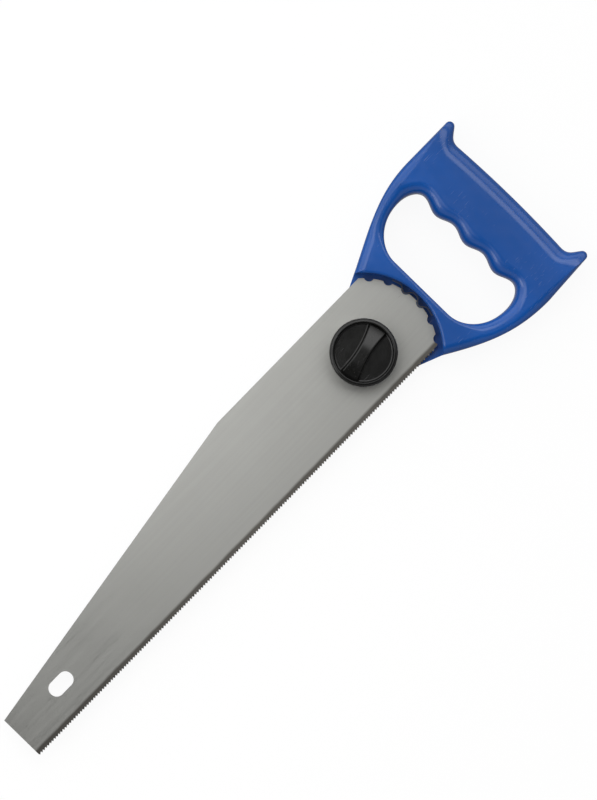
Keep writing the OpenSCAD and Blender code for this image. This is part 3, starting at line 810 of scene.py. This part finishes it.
        def tang_point(t):
            low, high = self.TANG_SIDE, 1 - self.TANG_SIDE
            if t < low:
                return lerp(self.corner(-1), self.tangent_point(-1), t / low)
            if t > high:
                return lerp(self.tangent_point(1), self.corner(1), (t - high) / low)
            start, end = self.tangent_angle(-1) + 2 * math.pi, self.tangent_angle(1)
            return cmath.rect(d.tang_r, lerp(start, end, (t - low) / (high - low)))

        def tang(t):
            along = unit(tang_point(t + self.TANG_NUDGE) - tang_point(t - self.TANG_NUDGE))
            return tang_point(t), tang_point(t) - d.tang_edge * 1j * along, d.tang_edge

        return self.fitted(self.trip(station, self.back_station, tang))

    def section(self, station, p, z_face):
        """Points across the ring at one station, from the outline over the face to the opening"""
        o, f, drop, g = station
        up = math.copysign(1.0, z_face - PARTING_Z)
        groove = self.d.parting_groove
        open_drop = abs(p - g)

        def point(q, z):
            return q.real, q.imag, z

        quarter = [math.pi / 2 * k / self.ROUND for k in range(self.ROUND + 1)]
        outer = [point(lerp(f, o, math.cos(a)), z_face - up * drop * (1 - math.sin(a))) for a in quarter]
        inner = [point(lerp(g, p, math.sin(a)), z_face - up * open_drop * (1 - math.cos(a))) for a in quarter]
        start = [point(o + groove * unit(f - o), PARTING_Z), point(o, PARTING_Z + up * groove)]
        end = [point(p, PARTING_Z + up * groove), point(p + groove * unit(g - p), PARTING_Z)]
        return start + outer + inner + end

    def shell(self, name, stations, z_face):
        """The solid between the parting plane and one face, all round the opening"""
        sections = [self.section(station, p, z_face) for station, p in zip(stations, self.opening)]
        return lofted(name, sections, in_ring=True)

    def hollow(self, stations, low, high):
        """The room inside a shell, round the grip from flank to flank, square under the horns"""
        reach, n = self.d.hollow_share, self.FINE
        back_end = (self.SIDE + self.BACK) * n
        first = self.HOLLOW_FROM * n
        last = len(stations) - self.FRONT * n - first

        def under_face(start, end):
            return [lerp(stations[i][1], stations[i][0], reach) for i in range(start, end + 1)]

        def corner(side):
            edge = self.back(self.d.flare_v).real
            return complex(edge - (1 - reach) * self.d.back_edge_w,
                           self.level_y(side) - side * (1 - reach) * self.d.edge_r)

        outer = under_face(first, self.FLANK * n) + [corner(1)] + under_face(self.SIDE * n, back_end)
        outer += [corner(-1)] + under_face(back_end + (self.SIDE - self.FLANK) * n, last)
        inner = [lerp(stations[i][3], self.opening[i], reach) for i in range(last, first - 1, -1)]
        return prism("hollow", outer + inner, low, high)


SCREWS_GRIP = [(0.097, y) for y in (-0.039, 0.002, 0.043)]
SCREWS_FRONT = [(0.041, y) for y in (-0.0265, 0.0305)]
SCREWS = SCREWS_GRIP + SCREWS_FRONT
# Wall of the screw bosses, a height above them, and the broken edge of the seats at the handle's back
BOSS_WALL, BOSS_TOP, SEAT_EDGE = 1.6 * MM, 30 * MM, 0.3 * MM
# Room round and beyond the screws, round the bolt's head, over its neck and beyond the recess wall
SCREW_GAP, POCKET_GAP, NECK_GAP, RECESS_GAP = 0.4 * MM, 0.6 * MM, 0.2 * MM, 0.3 * MM
# Play of the screws in their bosses, of the bolt in its bore and of its square neck
SCREW_PLAY, BOLT_PLAY, NECK_PLAY = 0.05 * MM, 0.05 * MM, 0.1 * MM
# Slots for the index spring's tabs: their angles, depth in the recess wall, half-width and height
TAB_TURNS = [math.radians(2.5 + a) for a in (-19.5, 19.5)]
TAB_DEPTH, TAB_HALF_W, TAB_HEIGHT = 2.15 * MM, 0.4 * MM, 2.8 * MM


def sink(radius, depth):
    """Start of the profile of a seat sunk into the handle's back, down its wall to its floor"""
    return [(0, -MM), (radius + MM, -MM), (radius + SEAT_EDGE, 0.0), (radius, SEAT_EDGE), (radius, depth)]


class PIPE_SAW_OT_handle(bpy.types.Operator):
    """Build the two moulded shells of the handle"""
    bl_idname = "pipe_saw.handle"
    bl_label = "Build the Handle"

    def execute(self, context):
        settings = context.scene.pipe_saw
        clamp = settings.clamp
        form = HandleForm(settings.handle)
        plastic = moulded_plastic("blue moulded plastic", settings.handle.plastic,
                                  rough=0.18, grain=2600.0, pale=0.5, shine=0.5)
        self.rear(form, clamp, plastic)
        self.front(form, clamp, plastic)
        return {"FINISHED"}

    def rear(self, form, clamp, plastic):
        """The rear shell: hollow, with screw seats, the bolt's pocket and bore, and the recess floor"""
        stations = form.rear_stations()
        shell = form.shell("rear_shell", stations, 0.0)
        over = PARTING_Z + MM
        seat_r, hole_r = clamp.screw_head_r + SCREW_GAP, clamp.screw_r + SCREW_GAP
        room = form.hollow(stations, form.d.face_t, over)
        for place in SCREWS_GRIP:
            carve(room, plug("boss", seat_r + BOSS_WALL, 0.0, BOSS_TOP, 64, place))
        carve(shell, room)
        seat = sink(seat_r, clamp.screw_seat) + [(hole_r, clamp.screw_seat), (hole_r, over), (0, over)]
        for place in SCREWS:
            carve(shell, lathe("seat", seat, 48, place))
        pocket = sink(BOLT_HIGH.x + POCKET_GAP, clamp.head_h) + [(0, clamp.head_h)]
        carve(shell, lathe("pocket", pocket, 96))
        neck, neck_top = clamp.bolt_r + NECK_PLAY, clamp.head_h + clamp.neck_h + NECK_GAP
        square = [neck * complex(u, v) for u, v in SQUARE]
        carve(shell, prism("neck", square, clamp.head_h - MM, neck_top))
        carve(shell, plug("bore", clamp.bolt_r + BOLT_PLAY, neck_top - MM, over, 64))
        floor = PARTING_Z - form.d.recess_floor
        carve(shell, tube("recess", form.d.seat_r, form.d.recess_r + RECESS_GAP, floor, over))
        fit(shell, "handle", "handle_plastic", plastic, "handle_rear_shell")

    def front(self, form, clamp, plastic):
        """The front shell: hollow, with screw holes and the slots for the index spring's tabs"""
        stations = form.front_stations()
        shell = form.shell("front_shell", stations, FACE_Z)
        under = PARTING_Z - MM
        room = form.hollow(stations, under, FACE_Z - form.d.face_t)
        for place in SCREWS_GRIP:
            carve(room, plug("boss", clamp.screw_r + 2 * BOSS_WALL, 0.0, BOSS_TOP, 48, place))
        carve(shell, room)
        top = clamp.screw_seat + clamp.screw_l + SCREW_GAP
        for place in SCREWS:
            carve(shell, plug("hole", clamp.screw_r + SCREW_PLAY, under, top, 32, place))
        near, far, half = form.d.recess_r - MM, form.d.recess_r + TAB_DEPTH, TAB_HALF_W
        for turn in TAB_TURNS:
            out = cmath.rect(1.0, turn)
            slot = [out * complex(x, y) for x, y in ((near, -half), (far, -half), (far, half), (near, half))]
            carve(shell, prism("tab slot", slot, under, PARTING_Z + TAB_HEIGHT))
        fit(shell, "handle", "handle_plastic", plastic, "handle_front_shell")


# ---- screws, bolt and washers ----

def thread(radius, depth, pitch, low, high, segments, centre=(0.0, 0.0), rows=8):
    """Loops of a thread that climbs one pitch a turn, run out at both ends"""
    flank, crest = 2.6, 0.15
    loops = []
    count = max(2, round((high - low) / pitch * rows))
    for k in range(count + 1):
        z = lerp(low, high, k / count)
        fade = smooth(min(k, count - k) / rows)

        def radius_at(a, z=z, fade=fade):
            phase = (z / pitch - a / (2 * math.pi)) % 1.0
            return radius - fade * depth * min(1.0, max(0.0, flank * abs(phase - 0.5) - crest))

        loops.append(ring(radius_at, z, segments, centre))
    return loops


# A pan head from its top to its underside: shares of its radius and of its height
PAN_HEAD = ((0.62, 0.0), (0.78, 0.05), (0.9, 0.16), (0.97, 0.32), (1.0, 0.5), (1.0, 0.95), (0.97, 1.0))
# Plain stretch under a screw's head, length of its point, and the point's share of its radius
SCREW_NECK, SCREW_POINT, POINT_SHARE = 0.4 * MM, 2 * MM, 0.3


class PIPE_SAW_OT_screws(bpy.types.Operator):
    """Build the five screws that hold the shells together"""
    bl_idname = "pipe_saw.screws"
    bl_label = "Build the Shell Screws"

    def execute(self, context):
        clamp = context.scene.pipe_saw.clamp
        bm = bmesh.new()
        r, shoulder = clamp.screw_r, clamp.screw_seat
        head, end = shoulder - clamp.screw_head_h, shoulder + clamp.screw_l
        low, high = shoulder + SCREW_NECK, end - SCREW_POINT
        n = 40
        for place in SCREWS:
            loops = [[(*place, head)]]
            for u, v in PAN_HEAD:
                loops.append(ring(clamp.screw_head_r * u, head + clamp.screw_head_h * v, n, place))
            loops.append(ring(r, shoulder, n, place))
            loops += thread(r, clamp.screw_thread, clamp.screw_pitch, low, high, n, place)
            loops += [ring(r * POINT_SHARE, end, n, place), [(*place, end)]]
            loft(bm, loops)
        piece = new_piece("shell_screw_set", bm)
        for x, y in SCREWS:
            stop = 0.6 + x * 40 + y * 25  # each screw came to rest at a turn of its own
            for turn in (stop, stop + math.pi / 2):
                carve(piece, self.flute(complex(x, y), turn, head))
        fit(piece, "handle", "zinc_steel", zinc_plate(clamp), "shell_screws", crisp=35)
        return {"FINISHED"}

    @staticmethod
    def flute(centre, turn, head):
        """One tapering bar of a cross recess"""
        along = cmath.rect(1.0, turn)
        rows = []
        for z, half_l, half_w in ((head - MM, 2.3 * MM, 0.6 * MM), (head + 1.3 * MM, 0.9 * MM, 0.28 * MM)):
            corners = [centre + along * complex(u * half_l, v * half_w) for u, v in SQUARE]
            rows.append([(p.real, p.imag, z) for p in corners])
        return lofted("flute", rows)


class PIPE_SAW_OT_clamp(bpy.types.Operator):
    """Build the clamp bolt and finish the washers and the insert"""
    bl_idname = "pipe_saw.clamp"
    bl_label = "Build the Clamp"

    def execute(self, context):
        clamp = context.scene.pipe_saw.clamp
        n = 96
        r, head_r, tip = clamp.bolt_r, BOLT_HIGH.x, BOLT_HIGH.z
        neck_top = clamp.head_h + clamp.neck_h
        lip, shoulder, chamfer = 0.15 * MM, 0.3 * MM, 0.8 * MM
        corner_r = 1.32 * r

        def square(a):
            flat = r / max(abs(math.cos(a)), abs(math.sin(a)))
            return min(flat, corner_r)

        loops = [[(0.0, 0.0, 0.0)]]
        loops += [ring(head_r - w * MM, z * MM, n) for w, z in ((0.6, 0.0), (0.25, 0.08), (0.0, 0.4))]
        loops += [ring(head_r, clamp.head_h - lip, n), ring(head_r - lip, clamp.head_h, n)]
        loops += [ring(square, clamp.head_h, n), ring(square, neck_top - shoulder, n), ring(r, neck_top, n)]
        loops += thread(r, clamp.bolt_thread, clamp.bolt_pitch, PARTING_Z + MM, tip - chamfer, n)
        loops += [ring(r - chamfer, tip, n), [(0.0, 0.0, tip)]]
        bolt = lofted("carriage_bolt", loops)
        fit(bolt, "handle", "zinc_steel", zinc_plate(clamp), "clamp_bolt", crisp=40)
        dress("flat_washer", zinc_plate(clamp), 0.2 * MM)
        dress("spring_washer", spring_steel(clamp), 0.15 * MM)
        brass = turned_metal("turned brass", clamp.brass, rough=0.26, pitch=6000.0)
        dress("knob_insert", brass, 0.3 * MM)
        return {"FINISHED"}


class PIPE_SAW_OT_index_spring(bpy.types.Operator):
    """Finish the index spring in the recess"""
    bl_idname = "pipe_saw.index_spring"
    bl_label = "Finish the Index Spring"

    def execute(self, context):
        dress("index_spring", spring_steel(context.scene.pipe_saw.clamp))
        return {"FINISHED"}


# ---- the blade ----

class PIPE_SAW_OT_blade(bpy.types.Operator):
    """Finish the blade: ground faces and a tooth line darkened partly by heat and partly by painted shade"""
    bl_idname = "pipe_saw.blade"
    bl_label = "Finish the Blade"

    def execute(self, context):
        settings = context.scene.pipe_saw.blade
        dress("blade", ground_steel(settings))
        return {"FINISHED"}


# ---- the knob ----

# Faces across a rounding and steps along the grip bar
KNOB_ROUND, BAR_STEPS = 6, 48
# Play of the insert in its bore, and the broken edge of the counterbore's mouth
INSERT_PLAY, MOUTH_EDGE = 0.02 * MM, 0.3 * MM


class PIPE_SAW_OT_knob(bpy.types.Operator):
    """Build the clamp knob: a shallow bowl with an arched grip bar across it"""
    bl_idname = "pipe_saw.knob"
    bl_label = "Build the Knob"

    def execute(self, context):
        d = context.scene.pipe_saw.knob
        piece = lathe("grip_knob", self.bowl(d), 160)
        carve(piece, self.bar(d), "UNION")
        plastic = moulded_plastic("black moulded plastic", d.plastic,
                                  rough=0.17, grain=2200.0, pale=0.3, shine=0.37)
        fit(piece, "knob", "knob_plastic", plastic, "knob", crisp=32)
        return {"FINISHED"}

    @staticmethod
    def bowl(d):
        """Profile of the knob without its bar, from the insert's bore round the rim to the pocket floor"""
        low, rim, floor = KNOB_LOW.z, KNOB_HIGH.z - d.crown, KNOB_HIGH.z - d.grip_d
        r, wall_r = KNOB_HIGH.x, KNOB_HIGH.x - d.rim_t
        bore_r, mouth = INSERT_HIGH.x + INSERT_PLAY, MOUTH_EDGE
        points = [(0, INSERT_HIGH.z), (bore_r, INSERT_HIGH.z), (bore_r, INSERT_LOW.z),
                  (d.counterbore_r, INSERT_LOW.z), (d.counterbore_r, low + mouth),
                  (d.counterbore_r + mouth, low)]
        turns = [(r - MM, low + MM, MM, -90, 0), (r - d.edge, rim - d.edge, d.edge, 0, 90),
                 (wall_r + d.lip, rim - d.lip, d.lip, 90, 180),
                 (wall_r - d.fillet, floor + d.fillet, d.fillet, 0, -90)]
        for x, z, size, start, end in turns:
            for k in range(KNOB_ROUND + 1):
                a = math.radians(lerp(start, end, k / KNOB_ROUND))
                points.append((x + size * math.cos(a), z + size * math.sin(a)))
        return points + [(0, floor)]

    @staticmethod
    def bar(d):
        """The grip bar: arched along its top, hollowed on both sides, its ends inside the rim"""
        floor = KNOB_HIGH.z - d.grip_d
        root, start = floor - 0.5 * MM, floor - 0.02 * MM
        reach = KNOB_HIGH.x - 0.5 * d.rim_t
        turn = cmath.rect(1.0, d.bar_angle)
        quarter = [math.pi / 2 * j / KNOB_ROUND for j in range(KNOB_ROUND + 1)]
        loops = []
        for k in range(BAR_STEPS + 1):
            x = lerp(-reach, reach, k / BAR_STEPS)
            half = d.bar_w / 2 + d.bar_side_r - math.sqrt(d.bar_side_r ** 2 - x * x)
            top = KNOB_HIGH.z - d.bar_arch + math.sqrt(d.bar_arch ** 2 - x * x)
            foot, edge = min(d.fillet, 0.5 * (top - floor)), min(d.bar_edge, 0.45 * (top - floor))
            side = [(half + foot, root)]
            side += [(half + foot * (1 - math.sin(a)), start + foot * (1 - math.cos(a))) for a in quarter]
            side += [(half - edge * (1 - math.cos(a)), top - edge * (1 - math.sin(a))) for a in quarter]
            section = side + [(-y, z) for y, z in reversed(side)]
            points = [(turn * complex(x, y), z) for y, z in section]
            loops.append([(p.real, p.imag, z) for p, z in points])
        return lofted("bar", loops)


# ---- the stage ----

# Half of the table's side, its height just under the saw, and its roughness
TABLE_HALF, TABLE_Z, TABLE_ROUGH = 12.0, -0.4 * MM, 0.9
# Lamps: bearing in the picture and lean from the zenith in degrees, distance, size and power
LAMPS = (("upper panel", 135, 32, 0.71, (0.5, 0.5), 0.8),
         ("near panel", 168, 23, 0.46, (0.28, 0.28), 0.34),
         ("left panel", 202, 51, 1.0, (0.45, 0.4), 1.7))
LAMP_TARGET = Vector((0.0, 0.0, 0.02))


class PIPE_SAW_OT_stage(bpy.types.Operator):
    """Set the table, the room, the lamps and the camera"""
    bl_idname = "pipe_saw.stage"
    bl_label = "Set the Stage"

    def execute(self, context):
        scene = context.scene
        stage = scene.pipe_saw.stage
        scene.view_settings.view_transform = "Standard"
        self.table(stage)
        self.room(scene, stage)
        self.lamps(scene, stage)
        self.camera(scene, stage)
        return {"FINISHED"}

    def table(self, stage):
        """A table that the picture shows as white and the saw sees as grey; it is clear from below"""
        bm = bmesh.new()
        bm.faces.new([bm.verts.new((x * TABLE_HALF, y * TABLE_HALF, TABLE_Z)) for x, y in SQUARE])
        table = new_piece("table", bm)
        material, tree, shader = finish_of("white table")
        shader.inputs["Base Color"].default_value = toned(stage.table)
        shader.inputs["Roughness"].default_value = TABLE_ROUGH
        in_picture = put(tree, "LightPath").outputs["Is Camera Ray"]
        even = span(tree, in_picture, 0.0, 1.0, 1.0, stage.even, soft=False)
        level = span(tree, in_picture, 0.0, 1.0, stage.mirrored, stage.seen, soft=False)
        glow = put(tree, "Emission", {"Color": WHITE, "Strength": level})
        both = put(tree, "MixShader", {0: even, 1: shader.outputs[0], 2: glow.outputs[0]})
        clear = put(tree, "BsdfTransparent")
        under = put(tree, "NewGeometry").outputs["Backfacing"]
        surface = put(tree, "MixShader", {0: under, 1: both.outputs[0], 2: clear.outputs[0]})
        tree.links.new(surface.outputs[0], tree.nodes["Material Output"].inputs["Surface"])
        table.data.materials.append(material)

    def room(self, scene, stage):
        """A room that is pale low down, with a curved panel beside the zenith and a wall to one side"""
        world = bpy.data.worlds.new("white room")
        scene.world = world
        world.use_nodes = True
        tree = world.node_tree
        direction = put(tree, "TexCoord").outputs["Generated"]
        up = put(tree, "SeparateXYZ", {"Vector": direction}).outputs["Z"]
        flat = maths(tree, "SQRT", maths(tree, "SUBTRACT", 1.0, times(tree, up, up)))
        level = maths(tree, "MAXIMUM", flat, 0.01)

        def towards(bearing, low, high):
            """A mask over a span of the cosine of the turn off a bearing"""
            way = cmath.rect(1.0, bearing - stage.turn)
            facing = put(tree, "VectorMath", {0: direction, 1: (way.real, way.imag, 0.0)},
                         operation="DOT_PRODUCT").outputs["Value"]
            return span(tree, maths(tree, "DIVIDE", facing, level), low, high)

        def part(mask, low, high, level_low, level_high):
            """Light in a mask, over a span of the height on the sky's unit sphere"""
            return times(tree, mask, span(tree, up, low, high, level_low, level_high))

        above = part(towards(stage.panel_side, 0.5, 0.82), 0.72, 0.8, 0.0, stage.panel)
        beside = part(towards(stage.wall_side, 0.0, 0.5), 0.5, 0.72, stage.wall, 0.0)
        around = span(tree, up, 0.5, 0.8, stage.surround, stage.shade)
        sides = maths(tree, "ADD", maths(tree, "ADD", above, beside), around)
        centre = span(tree, up, 0.974, 0.99)
        rest = times(tree, sides, maths(tree, "SUBTRACT", 1.0, centre))
        glow = raised(tree, rest, centre, stage.zenith)
        in_picture = put(tree, "LightPath").outputs["Is Camera Ray"]
        light = tree.nodes["Background"]
        light.inputs["Color"].default_value = WHITE
        tree.links.new(glow, light.inputs["Strength"])
        white = put(tree, "Background", {"Color": WHITE, "Strength": 1.0})
        both = put(tree, "MixShader", {0: in_picture, 1: light.outputs[0], 2: white.outputs[0]})
        tree.links.new(both.outputs[0], tree.nodes["World Output"].inputs["Surface"])

    def lamps(self, scene, stage):
        """Soft panels round the saw, out of the picture"""
        for name, bearing, lean, distance, size, power in LAMPS:
            lean = math.radians(lean)
            place = cmath.rect(distance * math.sin(lean), math.radians(bearing) - stage.turn)
            spot = Vector((place.real, place.imag, distance * math.cos(lean)))
            lamp = bpy.data.lights.new(name, "AREA")
            lamp.shape = "RECTANGLE"
            lamp.size, lamp.size_y = size
            lamp.energy = power
            stand = bpy.data.objects.new(name, lamp)
            stand.location = spot
            stand.visible_camera = False
            stand.rotation_euler = (LAMP_TARGET - spot).to_track_quat("-Z", "Y").to_euler()
            scene.collection.objects.link(stand)

    def camera(self, scene, stage):
        """A long lens straight over the blade, turned as in the photo"""
        lens = bpy.data.cameras.new("camera")
        lens.lens = 180.0
        lens.sensor_width = 36.0
        camera = bpy.data.objects.new("camera", lens)
        distance = stage.picture_h * lens.lens / lens.sensor_width
        camera.location = (stage.aim[0], stage.aim[1], PARTING_Z + MM + distance)
        camera.rotation_euler = (0.0, 0.0, -stage.turn)
        lens.clip_start = 0.01
        lens.clip_end = 100.0
        scene.collection.objects.link(camera)
        scene.camera = camera


class PIPE_SAW_PT_panel(bpy.types.Panel):
    """Lists the saw's pieces, sizes and colours"""
    bl_idname = "PIPE_SAW_PT_panel"
    bl_label = "Pipe Saw"
    bl_space_type = "VIEW_3D"
    bl_region_type = "UI"
    bl_category = "Pipe Saw"

    def draw(self, context):
        settings = context.scene.pipe_saw
        for operator in OPERATORS:
            self.layout.operator(operator.bl_idname)
        for part in ("handle", "blade", "clamp", "knob", "stage"):
            group = getattr(settings, part)
            box = self.layout.box()
            box.label(text=part.capitalize())
            for name in group.__annotations__:
                box.prop(group, name)


GROUPS = (PipeSawHandle, PipeSawBlade, PipeSawClamp, PipeSawKnob, PipeSawStage, PipeSawSettings)
OPERATORS = (PIPE_SAW_OT_stage, PIPE_SAW_OT_handle, PIPE_SAW_OT_screws, PIPE_SAW_OT_index_spring,
             PIPE_SAW_OT_clamp, PIPE_SAW_OT_blade, PIPE_SAW_OT_knob)
CLASSES = GROUPS + OPERATORS + (PIPE_SAW_PT_panel,)


def register():
    for item in CLASSES:
        bpy.utils.register_class(item)
    bpy.types.Scene.pipe_saw = PointerProperty(type=PipeSawSettings)


def unregister():
    del bpy.types.Scene.pipe_saw
    for item in reversed(CLASSES):
        bpy.utils.unregister_class(item)


def main():
    register()
    bpy.ops.pipe_saw.stage()
    bpy.ops.pipe_saw.handle()
    bpy.ops.pipe_saw.screws()
    bpy.ops.pipe_saw.index_spring()
    bpy.ops.pipe_saw.clamp()
    bpy.ops.pipe_saw.blade()
    bpy.ops.pipe_saw.knob()


if __name__ == "__main__":
    main()
